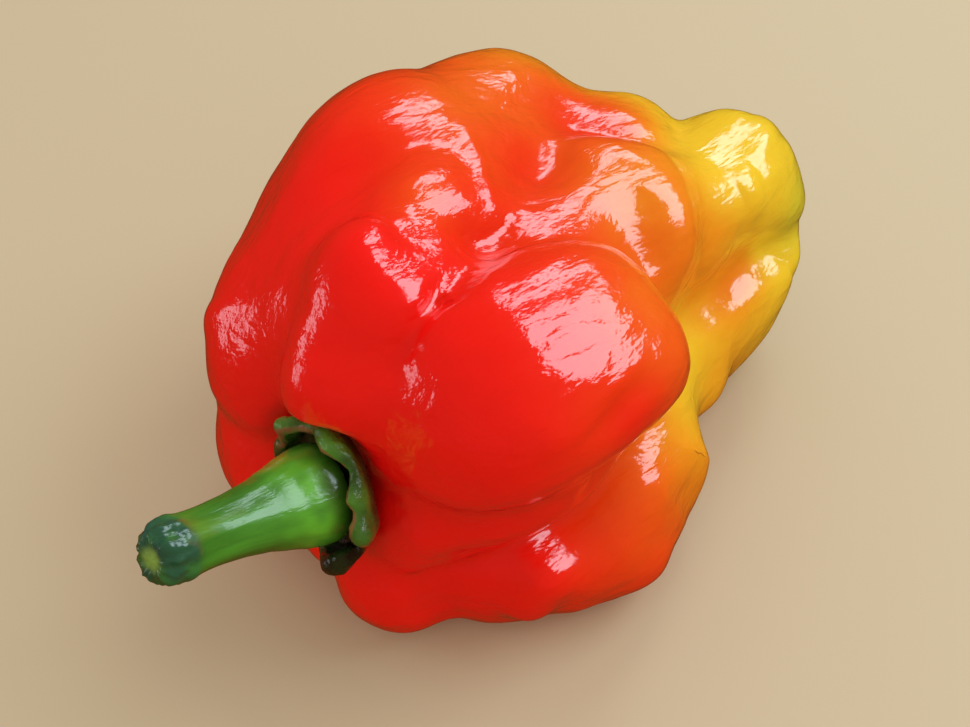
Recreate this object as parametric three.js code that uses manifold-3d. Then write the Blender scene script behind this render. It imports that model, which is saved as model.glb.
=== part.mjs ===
// Habanero pepper lying on its side: a folded pod, the ruffled calyx and the cut stem.
// Millimetres, +Z up, +X from the stem end towards the blunt tip, resting on z = 0.

import * as THREE from "three";
import Module from "manifold-3d";

// Driving dimensions

const CENTRE = [2.909, 2.489, 0.9];
const GRID_STEP = 1.42;
const RELAX_ROUNDS = 3;
const POD_LOW = [-24.3, -22.2, -2.4];
const POD_HIGH = [40, 26, 38];
const FLOOR_CUT = 6;

const SEAT_AT = [-15.9, -3, 17.9];
const SEAT_AXIS = [-0.9485, 0.018, 0.3162];
const SEAT_FILL = { depth: -4.6, half: 4, across: 7.5, blend: 2 };
const SEAT_HOLLOW = { depth: 1.5, half: 3, across: 6.6, blend: 0.8 };

const RIM_RADIUS = 4.9;
const RIM_HEIGHT = 0.95;
const RIM_THICK = 0.55;
const RIM_TURNS = [-50, -15, 20, 55, 90, 125, 160, 195];
const FLOOR_HEIGHT = 0.1;
const FLOOR_RADIUS = 3.7;
const UNDER_HEIGHT = -0.75;
const CALYX_SPOKES = 72;

const STEM_BEND = 6;
const STEM_END = [-29.6, -4.4, 24.6];
const STEM_SPOKES = 36;
const STEM_RINGS = 30;
const STEM_CLEARANCE = 0.3;

// The pod's carpels. Each bump is a turned ellipsoid: middle, half sizes, turn as yaw,
// pitch and roll in degrees, and how softly it joins the bumps before it. Where it has a
// square over 2, its sides are flatter and its edges tighter than an ellipsoid's.

const CARPELS = [
  { name: "core", crease: 2, bumps: [
    { at: [1.5, 2, 17], size: [15, 13, 12], turn: [0, 0, 0], blend: 3 },
    { at: [-2.5, -6.2, 12.9], size: [12, 5.7, 2.9], turn: [0, 0, 0], blend: 3 },
  ] },
  { name: "under side", crease: 2, bumps: [
    { at: [-11.6, 7.2, 9.2], size: [8.4, 8.5, 8.8], turn: [0, 0, 0], blend: 1.5 },
    { at: [8, 10, 10], size: [17, 9, 9.6], turn: [0, 0, 0], blend: 3 },
    { at: [-11.8, 0, 7], size: [6, 5, 5.5], turn: [0, 0, 0], blend: 1.5 },
  ] },
  { name: "tail", crease: 3, bumps: [
    { at: [13.6, 1.9, 21], size: [7, 6.9, 6.8], turn: [-38, 14, 4], blend: 2, square: 2.8 },
    { at: [27.6, 2.9, 14.3], size: [8.6, 7.4, 9], turn: [0, 2, 0], blend: 5, square: 2.1 },
    { at: [20, 1, 15], size: [8, 6.5, 8], turn: [0, 0, 0], blend: 3 },
  ] },
  { name: "back", crease: 1.5, bumps: [
    { at: [-2, 12.8, 20.3], size: [14.2, 8.5, 12.1], turn: [18, -22, -6], blend: 3 },
    { at: [-9, 7.8, 16], size: [9.7, 8.6, 10], turn: [0, 0, 0], blend: 4 },
    { at: [5.2, 12.2, 21.3], size: [11, 8.6, 9.2], turn: [0, 25, 0], blend: 3, square: 3 },
    { at: [11.6, 16, 19.2], size: [9.6, 7, 10], turn: [0, 18, 0], blend: 2, square: 2.4 },
    { at: [21, 9, 19], size: [7, 6, 6.5], turn: [0, 0, 0], blend: 4 },
    { at: [0.5, 4.5, 27.8], size: [4.5, 3.5, 3.2], turn: [0, 0, 0], blend: 3 },
    { at: [-2.3, 5.3, 30], size: [4.5, 3.2, 2.8], turn: [30, 0, 0], blend: 2 },
    { at: [-8, 6, 24.2], size: [7.6, 5, 6.6], turn: [24, -34, 0], blend: 3 },
  ] },
  { name: "low front", crease: 1.2, bumps: [
    { at: [-12, -5.6, 6.8], size: [6, 5.4, 6.1], turn: [0, 0, 0], blend: 1.5 },
    { at: [-5.8, -10, 6], size: [6.6, 4.5, 5.7], turn: [-30, 17, 4], blend: 1.5, square: 2.4 },
    { at: [1.6, -12, 6.4], size: [6.6, 5.8, 5.7], turn: [0, 12, 12], blend: 2, square: 2.6 },
    { at: [-4, -13.2, 7.6], size: [4.6, 3.4, 3.6], turn: [0, 24, 8], blend: 1.5, square: 3 },
    { at: [6.2, -11.4, 8.1], size: [6.4, 5, 6], turn: [0, 9, 12], blend: 3, square: 2.8 },
    { at: [11, -4, 9], size: [10.4, 6.2, 8], turn: [20, 9, 12], blend: 4, square: 2.4 },
    { at: [24, -2.6, 8.4], size: [10, 5.2, 7.6], turn: [12, 0, 0], blend: 5 },
  ] },
  { name: "high front", crease: 1, bumps: [
    { at: [-9.2, 1.2, 25.4], size: [7.8, 5, 6.4], turn: [22, -38, 18], blend: 1.6, square: 2.8 },
    { at: [-7, 1.8, 28.2], size: [4.8, 4.2, 4.8], turn: [0, 18, 24], blend: 3, square: 3.6 },
    { at: [-3.6, -6.3, 21.6], size: [9.6, 8.4, 9.3], turn: [8, -5, 10], blend: 2.5 },
    { at: [-0.8, -7.2, 22.5], size: [10, 7.8, 8.5], turn: [0, 7, 20], blend: 4, square: 3 },
  ] },
];

// Creases and dents pressed into the pod along lines of points; width is how far they spread.

const CREASES = [
  { name: "between the high front lobes", width: 1.3, depth: 0.9,
    points: [[-10.4, -4.4, 29], [-8, -3.5, 30.4], [-5.3, -3.1, 31.6], [-1.8, -1.8, 31.4], [2.2, 1.1, 28.7]] },
  { name: "end of the lobe over the calyx", width: 0.7, depth: 0.3,
    points: [[-5.6, 3.6, 33.1], [-5.3, 1.4, 33.4], [-4.4, 0.6, 32.7]] },
  { name: "valley on top", width: 3, depth: 0.8,
    points: [[10.9, 6.6, 29.9], [10.7, 5, 28.1], [8.9, 3.4, 27.3]] },
  { name: "fold under the front lobe", width: 1.4, depth: 1.2,
    points: [[-2.5, -15, 20], [-1.5, -14.5, 22.5], [1.5, -13.5, 22.5], [5, -12.5, 21]] },
  { name: "pocket under the front lobe", width: 3, depth: 1.6,
    points: [[1.5, -14, 20], [5, -12.5, 19]] },
  { name: "dent in the waist", width: 3.2, depth: 1,
    points: [[12.1, -1.7, 26.8]] },
  { name: "flat side of the back lobe", width: 5, depth: 1,
    points: [[-9.5, 15.5, 28.5]] },
  { name: "under the back lobe", width: 1.5, depth: 0.8,
    points: [[-18.9, 9, 15.5], [-18, 4, 16], [-16.5, 1.5, 17.5]] },
  { name: "fold in the tip", width: 1.8, depth: 1.8,
    points: [[32.5, -3.6, 13.8], [30.1, -4.3, 14.1], [24.8, -4.4, 15.1], [18.8, -5.9, 16.1]] },
  { name: "first low front crease", width: 1.5, depth: 0.9,
    points: [[-12.5, -11.2, 6], [-13.2, -10.6, 8], [-12.8, -9.5, 10.5]] },
  { name: "second low front crease", width: 1.4, depth: 0.7,
    points: [[-5.5, -15.2, 5], [-5.2, -14.8, 8], [-4.8, -13.6, 10.5]] },
];
const CREASE_END = 0.08;
const CREASE_REACH = 6;

// Ruffles of the calyx rim: angle round the seat in degrees from straight up towards the
// back, spread in degrees, and how far the rim goes out, up and thicker there.

const RUFFLES = [
  { at: 60, spread: 16, out: 0.3, up: 0.5, thick: 0.2 },
  { at: 34, spread: 8, out: -0.25, up: -0.15, thick: -0.15 },
  { at: 2, spread: 16, out: 0.1, up: 0.3, thick: 0.2 },
  { at: -26, spread: 10, out: 0.15, up: -0.1, thick: -0.12 },
  { at: -48, spread: 9, out: 0, up: 0.15, thick: 0.15 },
  { at: -62, spread: 6, out: -0.1, up: -0.05, thick: -0.15 },
  { at: -76, spread: 12, out: 0.5, up: 0.4, thick: 0.3 },
  { at: -104, spread: 12, out: -0.1, up: -0.6, thick: -0.2 },
  { at: -134, spread: 18, out: 0.25, up: 0.7, thick: 0.35 },
  { at: -172, spread: 14, out: -0.2, up: -0.4, thick: -0.1 },
  { at: 145, spread: 15, out: 0.1, up: 0.2, thick: 0.1 },
  { at: 96, spread: 14, out: 0.3, up: 0.1, thick: 0.1 },
];

// Half thickness of the stem at fractions of its length, foot first.

const STEM_GIRTH = [
  [0, 3.5], [0.05, 3.75], [0.12, 3.75], [0.22, 3.45], [0.34, 3], [0.48, 2.5], [0.62, 2.2],
  [0.74, 2.06], [0.82, 2.05], [0.86, 2.22], [0.9, 2.08], [0.94, 2.2], [0.98, 1.95], [1, 1.4],
];
const STEM_RIBS = [
  { count: 5, depth: 0.05, phase: 20 },
  { count: 3, depth: 0.025, phase: 75 },
];
const RIB_TWIST = 40;
const RIB_START = 0.25;

const rad = Math.PI / 180;

const dot = (a, b) => a[0] * b[0] + a[1] * b[1] + a[2] * b[2];
const along = (p, a, t) => [p[0] + a[0] * t, p[1] + a[1] * t, p[2] + a[2] * t];
const unit = (a) => a.map((v) => v / Math.hypot(...a));
const cross = (a, b) => [
  a[1] * b[2] - a[2] * b[1],
  a[2] * b[0] - a[0] * b[2],
  a[0] * b[1] - a[1] * b[0],
];

// Rows of the turn matrix for yaw, pitch and roll in degrees

function turnRows([yaw, pitch, roll]) {
  const euler = new THREE.Euler(roll * rad, pitch * rad, yaw * rad, "ZYX");
  const m = new THREE.Matrix4().makeRotationFromEuler(euler).elements;
  return [[m[0], m[1], m[2]], [m[4], m[5], m[6]], [m[8], m[9], m[10]]];
}

// Soft union and soft cut of two distances

function join(a, b, blend) {
  const h = Math.max(blend - Math.abs(a - b), 0) / blend;
  return Math.min(a, b) - (h * h * blend) / 4;
}

const cut = (a, b, blend) => -join(-a, b, blend);

// Rough distance to a turned ellipsoid, flatter on its sides the more its square is over 2

function ellipsoid(p, at, size, rows, square = 2) {
  const d = [p[0] - at[0], p[1] - at[1], p[2] - at[2]];
  const s = rows.map((row, x) => Math.abs(dot(row, d)) / size[x]);
  const near = (s[0] ** square + s[1] ** square + s[2] ** square) ** (1 / square);
  const slope = Math.hypot(...s.map((v, x) => v ** (square - 1) / size[x]));
  return ((near - 1) * near ** (square - 1)) / (slope + 1e-9);
}

// Square distance from a point to a line of points, and how far along it the nearest place is

function nearLine(p, points) {
  if (points.length === 1) {
    const d = p.map((v, i) => v - points[0][i]);
    return [dot(d, d), 0.5];
  }
  let best = Infinity;
  let where = 0;
  for (let i = 0; i + 1 < points.length; i++) {
    const span = points[i + 1].map((v, k) => v - points[i][k]);
    const from = p.map((v, k) => v - points[i][k]);
    const t = Math.min(1, Math.max(0, dot(from, span) / dot(span, span)));
    const off = from.map((v, k) => v - t * span[k]);
    const square = dot(off, off);
    if (square < best) {
      best = square;
      where = (i + t) / (points.length - 1);
    }
  }
  return [best, where];
}

// The seat's own axes: outwards along the stem, up across it, and towards the back

function seatAxes() {
  const out = unit(SEAT_AXIS);
  const up = unit(along([0, 0, 1], out, -out[2]));
  return { out, up, back: cross(out, up) };
}

// Signed distance to the pod's skin, negative inside

function podField() {
  const carpels = CARPELS.map((carpel) => ({
    crease: carpel.crease,
    bumps: carpel.bumps.map((b) => ({ ...b, rows: turnRows(b.turn) })),
  }));
  const { out, up, back } = seatAxes();
  const seatRows = [out, up, back];
  const seat = (s) => ({
    at: along(SEAT_AT, out, s.depth),
    size: [s.half, s.across, s.across],
    blend: s.blend,
  });
  const fill = seat(SEAT_FILL);
  const hollow = seat(SEAT_HOLLOW);
  return (p) => {
    let d = Infinity;
    for (const carpel of carpels) {
      let e = Infinity;
      for (const b of carpel.bumps) {
        const f = ellipsoid(p, b.at, b.size, b.rows, b.square);
        e = e === Infinity ? f : join(e, f, b.blend);
      }
      d = d === Infinity ? e : join(d, e, carpel.crease);
    }
    d = join(d, ellipsoid(p, fill.at, fill.size, seatRows), fill.blend);
    d = cut(d, ellipsoid(p, hollow.at, hollow.size, seatRows), hollow.blend);
    if (Math.abs(d) < CREASE_REACH) {
      for (const crease of CREASES) {
        const [square, where] = nearLine(p, crease.points);
        const fade = Math.sqrt(Math.sin(Math.PI * (CREASE_END + (1 - 2 * CREASE_END) * where)));
        d += crease.depth * fade * Math.exp(-square / crease.width ** 2);
      }
    }
    return d;
  };
}

// Closed skin round the inside of a field: one point in each grid cell for each sheet of
// skin that passes through it, one four-sided face round each grid edge the skin crosses

const CORNERS = [0, 1, 2, 3, 4, 5, 6, 7].map((c) => [c & 1, (c >> 1) & 1, (c >> 2) & 1]);
const EDGES = [];
for (let a = 0; a < 8; a++)
  for (const bit of [1, 2, 4]) if (!(a & bit)) EDGES.push([a, a | bit]);
const edgeNumber = (a, b) => EDGES.findIndex(([p, q]) => p === Math.min(a, b) && q === Math.max(a, b));
const SIDES = [[1, 2], [2, 4], [4, 1]].flatMap(([u, v]) =>
  [0, 7 - u - v].map((base) => [base, base | u, base | u | v, base | v]));

function sheetsIn(value) {
  const sheet = EDGES.map(([a, b], i) => (value[a] < 0 === value[b] < 0 ? -1 : i));
  const link = (e, f) => {
    const [from, to] = [sheet[e], sheet[f]];
    for (let i = 0; i < sheet.length; i++) if (sheet[i] === from) sheet[i] = to;
  };
  for (const side of SIDES) {
    const rim = side.map((c, i) => edgeNumber(c, side[(i + 1) % 4]));
    const crossed = rim.filter((e) => sheet[e] >= 0);
    if (crossed.length === 2) link(crossed[0], crossed[1]);
    if (crossed.length === 4)
      side.forEach((c, i) => value[c] < 0 && link(rim[i], rim[(i + 3) % 4]));
  }
  return sheet;
}

function skinOf(field, low, high, step) {
  const count = low.map((v, i) => Math.ceil((high[i] - v) / step) + 1);
  const strides = [1, count[0], count[0] * count[1]];
  const nodes = new Float64Array(count[0] * count[1] * count[2]);
  const place = (i, j, k) => [low[0] + i * step, low[1] + j * step, low[2] + k * step];
  const everyNode = (margin, visit) => {
    for (let k = margin[0]; k < count[2] - margin[1]; k++)
      for (let j = margin[0]; j < count[1] - margin[1]; j++)
        for (let i = margin[0]; i < count[0] - margin[1]; i++)
          visit(i, j, k, dot([i, j, k], strides));
  };
  everyNode([0, 0], (i, j, k, at) => {
    nodes[at] = field(place(i, j, k));
  });
  const pointOf = new Map();
  const points = [];
  everyNode([0, 1], (i, j, k, at) => {
    const value = CORNERS.map((c) => nodes[at + dot(c, strides)]);
    const inside = value.filter((v) => v < 0).length;
    if (inside === 0 || inside === CORNERS.length) return;
    const sheet = sheetsIn(value);
    for (const one of new Set(sheet)) {
      if (one < 0) continue;
      const crossed = EDGES.filter((_, e) => sheet[e] === one);
      let sum = [0, 0, 0];
      for (const [a, b] of crossed) {
        const t = value[a] / (value[a] - value[b]);
        sum = sum.map((v, x) => v + CORNERS[a][x] + t * (CORNERS[b][x] - CORNERS[a][x]));
      }
      sheet.forEach((s, e) => s === one && pointOf.set(at * EDGES.length + e, points.length));
      points.push(place(i, j, k).map((v, x) => v + (sum[x] / crossed.length) * step));
    }
  });
  const quads = [];
  everyNode([1, 1], (i, j, k, at) => {
    for (let x = 0; x < 3; x++) {
      const inside = nodes[at] < 0;
      if (inside === nodes[at + strides[x]] < 0) continue;
      const [u, v] = [(x + 1) % 3, (x + 2) % 3];
      const ring = [[1, 1], [0, 1], [0, 0], [1, 0]].map(([du, dv]) => {
        const cell = at - du * strides[u] - dv * strides[v];
        const from = (du << u) | (dv << v);
        return pointOf.get(cell * EDGES.length + edgeNumber(from, from | (1 << x)));
      });
      quads.push(inside ? ring : ring.reverse());
    }
  });
  return { points, quads };
}

// Moves points along the field's slope until they lie on the skin

function ontoSkin(field, p) {
  const probe = 0.02;
  let q = p;
  for (let round = 0; round < 3; round++) {
    const d = field(q);
    const slope = [0, 1, 2].map((x) => {
      const step = [0, 0, 0];
      step[x] = probe;
      return (field(along(q, step, 1)) - field(along(q, step, -1))) / (2 * probe);
    });
    const square = Math.max(dot(slope, slope), 0.05);
    q = along(q, slope, -d / square);
  }
  return q;
}

// Evens out the points of a skin and puts them back onto the field

function relax(field, skin, rounds) {
  const { quads } = skin;
  let points = skin.points;
  for (let round = 0; round < rounds; round++) {
    const sums = points.map(() => [0, 0, 0, 0]);
    for (const quad of quads)
      for (let c = 0; c < 4; c++) {
        const s = sums[quad[c]];
        const q = points[quad[(c + 1) % 4]];
        for (let x = 0; x < 3; x++) s[x] += q[x];
        s[3]++;
      }
    points = points.map((p, i) => {
      const mean = [0, 1, 2].map((x) => sums[i][x] / sums[i][3]);
      return ontoSkin(field, p.map((v, x) => (v + mean[x]) / 2));
    });
  }
  return { points, quads };
}

// Splits four-sided faces along their shorter diagonal

function triangles({ points, quads }) {
  const far = (a, b) => Math.hypot(...points[a].map((v, x) => v - points[b][x]));
  const faces = [];
  for (const [a, b, c, d] of quads) {
    if (far(a, c) <= far(b, d)) faces.push([a, b, c], [a, c, d]);
    else faces.push([a, b, d], [b, c, d]);
  }
  return { points, faces };
}

// Closed body from rings of points, its two ends closed to their middles

function loft(rings) {
  const spokes = rings[0].length;
  const points = rings.flat();
  const faces = [];
  for (let r = 0; r + 1 < rings.length; r++)
    for (let s = 0; s < spokes; s++) {
      const a = r * spokes + s;
      const b = r * spokes + ((s + 1) % spokes);
      faces.push([a, b, b + spokes], [a, b + spokes, a + spokes]);
    }
  const middle = (ring) => [0, 1, 2].map((x) => ring.reduce((t, p) => t + p[x], 0) / spokes);
  const first = points.push(middle(rings[0])) - 1;
  const last = points.push(middle(rings[rings.length - 1])) - 1;
  const lastRing = (rings.length - 1) * spokes;
  for (let s = 0; s < spokes; s++) {
    const next = (s + 1) % spokes;
    faces.push([first, next, s], [last, lastRing + s, lastRing + next]);
  }
  return { points, faces };
}

// three.js shapes to solids and back

function solidOf(wasm, { points, faces }) {
  const mesh = new wasm.Mesh({
    numProp: 3,
    vertProperties: new Float32Array(points.flat()),
    triVerts: new Uint32Array(faces.flat()),
  });
  return new wasm.Manifold(mesh);
}

function boxSolid(wasm, low, high) {
  const size = high.map((v, x) => v - low[x]);
  const box = new THREE.BoxGeometry(...size);
  box.translate(...low.map((v, x) => v + size[x] / 2));
  const at = box.attributes.position;
  const named = new Map();
  const points = [];
  const number = (i) => {
    const p = [at.getX(i), at.getY(i), at.getZ(i)];
    const key = p.join(" ");
    if (!named.has(key)) named.set(key, points.push(p) - 1);
    return named.get(key);
  };
  const faces = [];
  for (let i = 0; i < box.index.count; i += 3)
    faces.push([0, 1, 2].map((c) => number(box.index.getX(i + c))));
  return solidOf(wasm, { points, faces });
}

function shapeOf({ points, faces }) {
  const shape = new THREE.BufferGeometry();
  const moved = points.map((p) => p.map((v, x) => v - CENTRE[x]));
  shape.setAttribute("position", new THREE.Float32BufferAttribute(moved.flat(), 3));
  shape.setIndex(faces.flat());
  shape.computeVertexNormals();
  return shape;
}

function bodyOf(solid) {
  const mesh = solid.getMesh();
  const points = [];
  for (let i = 0; i < mesh.vertProperties.length; i += mesh.numProp)
    points.push(Array.from(mesh.vertProperties.slice(i, i + 3)));
  const faces = [];
  for (let i = 0; i < mesh.triVerts.length; i += 3)
    faces.push(Array.from(mesh.triVerts.slice(i, i + 3)));
  return { points, faces };
}

// Pod: the skin of the field, cut flat where it rests

function makePod(wasm) {
  const field = podField();
  const skin = relax(field, skinOf(field, POD_LOW, POD_HIGH, GRID_STEP), RELAX_ROUNDS);
  const whole = solidOf(wasm, triangles(skin));
  const low = [POD_LOW[0], POD_LOW[1], CENTRE[2] - FLOOR_CUT];
  const high = [POD_HIGH[0], POD_HIGH[1], CENTRE[2]];
  return shapeOf(bodyOf(whole.subtract(boxSolid(wasm, low, high))));
}

// Calyx: a shallow cup with a thick ruffled rim

function ruffleAt(angle) {
  const sum = { out: 0, up: 0, thick: 0 };
  for (const r of RUFFLES) {
    const off = ((angle - r.at + 540) % 360) - 180;
    const share = Math.exp(-((off / r.spread) ** 2));
    sum.out += r.out * share;
    sum.up += r.up * share;
    sum.thick += r.thick * share;
  }
  return sum;
}

function calyxProfile(angle) {
  const { out, up, thick } = ruffleAt(angle);
  const radius = RIM_RADIUS + out;
  const height = RIM_HEIGHT + up;
  const half = RIM_THICK + thick;
  const profile = [[2, UNDER_HEIGHT], [4.2, UNDER_HEIGHT + 0.1], [radius - 0.1, UNDER_HEIGHT + 0.45]];
  for (const turn of RIM_TURNS) {
    profile.push([
      radius + half * Math.cos(turn * rad),
      height + half * Math.sin(turn * rad),
    ]);
  }
  profile.push([Math.max(radius - half, FLOOR_RADIUS + 0.35), FLOOR_HEIGHT + 0.05]);
  profile.push([FLOOR_RADIUS, FLOOR_HEIGHT], [1.6, FLOOR_HEIGHT]);
  return profile;
}

function makeCalyx() {
  const { out, up, back } = seatAxes();
  const rings = [];
  for (let s = 0; s < CALYX_SPOKES; s++) {
    const angle = (360 * s) / CALYX_SPOKES;
    calyxProfile(angle).forEach(([radius, height], i) => {
      rings[i] ??= [];
      const flat = along([0, 0, 0], up, radius * Math.cos(angle * rad));
      const side = along(flat, back, radius * Math.sin(angle * rad));
      rings[i].push(SEAT_AT.map((v, x) => v + side[x] + height * out[x]));
    });
  }
  return shapeOf(loft(rings));
}

// Stem: a bent, faintly ribbed stalk with a flared foot and a swollen cut end

function girthAt(share) {
  let i = 1;
  while (i < STEM_GIRTH.length - 1 && STEM_GIRTH[i][0] < share) i++;
  const [from, a] = STEM_GIRTH[i - 1];
  const [to, b] = STEM_GIRTH[i];
  const t = (share - from) / (to - from);
  return a + (b - a) * t * t * (3 - 2 * t);
}

function makeStem() {
  const { out, up } = seatAxes();
  const foot = along(SEAT_AT, out, FLOOR_HEIGHT + STEM_CLEARANCE);
  const bend = along(foot, out, STEM_BEND);
  const path = new THREE.QuadraticBezierCurve3(
    new THREE.Vector3(...foot),
    new THREE.Vector3(...bend),
    new THREE.Vector3(...STEM_END),
  );
  const rings = [];
  for (let r = 0; r < STEM_RINGS; r++) {
    const share = r / (STEM_RINGS - 1);
    const middle = path.getPoint(share).toArray();
    const ahead = path.getTangent(share).toArray();
    const back = unit(cross(ahead, up));
    const rise = cross(back, ahead);
    const fade = Math.min(1, share / RIB_START);
    const ring = [];
    for (let s = 0; s < STEM_SPOKES; s++) {
      const angle = (360 * s) / STEM_SPOKES;
      let girth = girthAt(share);
      for (const rib of STEM_RIBS)
        girth *= 1 + rib.depth * fade * Math.cos((rib.count * (angle - RIB_TWIST * share) - rib.phase) * rad);
      const p = along(middle, rise, girth * Math.cos(angle * rad));
      ring.push(along(p, back, girth * Math.sin(angle * rad)));
    }
    rings.push(ring);
  }
  return shapeOf(loft(rings));
}

function piece(name, shape, colour, roughness) {
  const material = new THREE.MeshStandardMaterial({ color: colour, roughness, metalness: 0 });
  const mesh = new THREE.Mesh(shape, material);
  mesh.name = name;
  return mesh;
}

const wasm = await Module();
wasm.setup();

const pepper = new THREE.Group();
pepper.name = "habanero_pepper";
pepper.add(piece("pod", makePod(wasm), 0xd8220f, 0.2));
pepper.add(piece("calyx", makeCalyx(), 0x3a6b1e, 0.45));
pepper.add(piece("stem", makeStem(), 0x3f8f26, 0.35));

export default pepper;
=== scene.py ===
# Looks of a habanero pepper lying on its side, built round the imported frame, in metres.
# The pod's folds are worked out in millimetres in the carpels' own frame, as in the part.

import math

import bpy
import numpy as np
from mathutils import Euler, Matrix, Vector, noise


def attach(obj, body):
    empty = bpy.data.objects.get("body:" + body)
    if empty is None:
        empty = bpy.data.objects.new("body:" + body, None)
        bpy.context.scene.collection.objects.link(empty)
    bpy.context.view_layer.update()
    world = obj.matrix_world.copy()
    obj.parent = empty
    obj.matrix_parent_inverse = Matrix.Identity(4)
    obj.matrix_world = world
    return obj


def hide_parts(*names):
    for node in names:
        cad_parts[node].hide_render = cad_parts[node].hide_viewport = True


bl_info = {
    "name": "Habanero pepper",
    "version": (1, 0, 0),
    "blender": (4, 5, 0),
    "location": "3D View > Sidebar > Pepper",
    "description": "Dresses the packed pepper with its skin, calyx, stem and a plain stage",
    "category": "Object",
}

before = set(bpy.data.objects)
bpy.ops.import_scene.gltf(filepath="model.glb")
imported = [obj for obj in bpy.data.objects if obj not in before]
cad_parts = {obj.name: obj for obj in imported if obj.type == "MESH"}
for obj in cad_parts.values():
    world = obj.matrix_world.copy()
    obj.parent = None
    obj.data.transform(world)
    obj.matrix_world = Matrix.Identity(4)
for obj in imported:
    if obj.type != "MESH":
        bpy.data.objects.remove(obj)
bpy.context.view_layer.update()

MM = 0.001
TINY = 1e-9

# Where the frame's origin lies in the carpels' own frame, in millimetres

CENTRE = np.array([2.909, 2.489, 0.9])

# The pod's carpels: how sharply each meets the ones before it, and its bumps as middle,
# half sizes, turn as yaw, pitch and roll, blend and, where it is not an ellipsoid, how square it is

CARPELS = [
    ("core", 2, [
        ([1.5, 2, 17], [15, 13, 12], [0, 0, 0], 3),
        ([-2.5, -6.2, 12.9], [12, 5.7, 2.9], [0, 0, 0], 3),
    ]),
    ("under side", 2, [
        ([-11.6, 7.2, 9.2], [8.4, 8.5, 8.8], [0, 0, 0], 1.5),
        ([8, 10, 10], [17, 9, 9.6], [0, 0, 0], 3),
        ([-11.8, 0, 7], [6, 5, 5.5], [0, 0, 0], 1.5),
    ]),
    ("tail", 3, [
        ([13.6, 1.9, 21], [7, 6.9, 6.8], [-38, 14, 4], 2, 2.8),
        ([27.6, 2.9, 14.3], [8.6, 7.4, 9], [0, 2, 0], 5, 2.1),
        ([20, 1, 15], [8, 6.5, 8], [0, 0, 0], 3),
    ]),
    ("back", 1.5, [
        ([-2, 12.8, 20.3], [14.2, 8.5, 12.1], [18, -22, -6], 3),
        ([-9, 7.8, 16], [9.7, 8.6, 10], [0, 0, 0], 4),
        ([5.2, 12.2, 21.3], [11, 8.6, 9.2], [0, 25, 0], 3, 3),
        ([11.6, 16, 19.2], [9.6, 7, 10], [0, 18, 0], 2, 2.4),
        ([21, 9, 19], [7, 6, 6.5], [0, 0, 0], 4),
        ([0.5, 4.5, 27.8], [4.5, 3.5, 3.2], [0, 0, 0], 3),
        ([-2.3, 5.3, 30], [4.5, 3.2, 2.8], [30, 0, 0], 2),
        ([-8, 6, 24.2], [7.6, 5, 6.6], [24, -34, 0], 3),
    ]),
    ("low front", 1.2, [
        ([-12, -5.6, 6.8], [6, 5.4, 6.1], [0, 0, 0], 1.5),
        ([-5.8, -10, 6], [6.6, 4.5, 5.7], [-30, 17, 4], 1.5, 2.4),
        ([1.6, -12, 6.4], [6.6, 5.8, 5.7], [0, 12, 12], 2, 2.6),
        ([-4, -13.2, 7.6], [4.6, 3.4, 3.6], [0, 24, 8], 1.5, 3),
        ([6.2, -11.4, 8.1], [6.4, 5, 6], [0, 9, 12], 3, 2.8),
        ([11, -4, 9], [10.4, 6.2, 8], [20, 9, 12], 4, 2.4),
        ([24, -2.6, 8.4], [10, 5.2, 7.6], [12, 0, 0], 5),
    ]),
    ("high front", 1, [
        ([-9.2, 1.2, 25.4], [7.8, 5, 6.4], [22, -38, 18], 1.6, 2.8),
        ([-7, 1.8, 28.2], [4.8, 4.2, 4.8], [0, 18, 24], 3, 3.6),
        ([-3.6, -6.3, 21.6], [9.6, 8.4, 9.3], [8, -5, 10], 2.5),
        ([-0.8, -7.2, 22.5], [10, 7.8, 8.5], [0, 7, 20], 4, 3),
    ]),
]

# Creases and dents: width, depth and the line of points they follow

CREASES = [
    ("between the high front lobes", 1.3, 0.9,
     [[-10.4, -4.4, 29], [-8, -3.5, 30.4], [-5.3, -3.1, 31.6], [-1.8, -1.8, 31.4], [2.2, 1.1, 28.7]]),
    ("end of the lobe over the calyx", 0.7, 0.3,
     [[-5.6, 3.6, 33.1], [-5.3, 1.4, 33.4], [-4.4, 0.6, 32.7]]),
    ("valley on top", 3, 0.8,
     [[10.9, 6.6, 29.9], [10.7, 5, 28.1], [8.9, 3.4, 27.3]]),
    ("fold under the front lobe", 1.4, 1.2,
     [[-2.5, -15, 20], [-1.5, -14.5, 22.5], [1.5, -13.5, 22.5], [5, -12.5, 21]]),
    ("pocket under the front lobe", 3, 1.6,
     [[1.5, -14, 20], [5, -12.5, 19]]),
    ("dent in the waist", 3.2, 1,
     [[12.1, -1.7, 26.8]]),
    ("flat side of the back lobe", 5, 1,
     [[-9.5, 15.5, 28.5]]),
    ("under the back lobe", 1.5, 0.8,
     [[-18.9, 9, 15.5], [-18, 4, 16], [-16.5, 1.5, 17.5]]),
    ("fold in the tip", 1.8, 1.8,
     [[32.5, -3.6, 13.8], [30.1, -4.3, 14.1], [24.8, -4.4, 15.1], [18.8, -5.9, 16.1]]),
    ("first low front crease", 1.5, 0.9,
     [[-12.5, -11.2, 6], [-13.2, -10.6, 8], [-12.8, -9.5, 10.5]]),
    ("second low front crease", 1.4, 0.7,
     [[-5.5, -15.2, 5], [-5.2, -14.8, 8], [-4.8, -13.6, 10.5]]),
]
CREASE_END = 0.08

# Small dents and swellings that only the skin has; a negative depth swells

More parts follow.
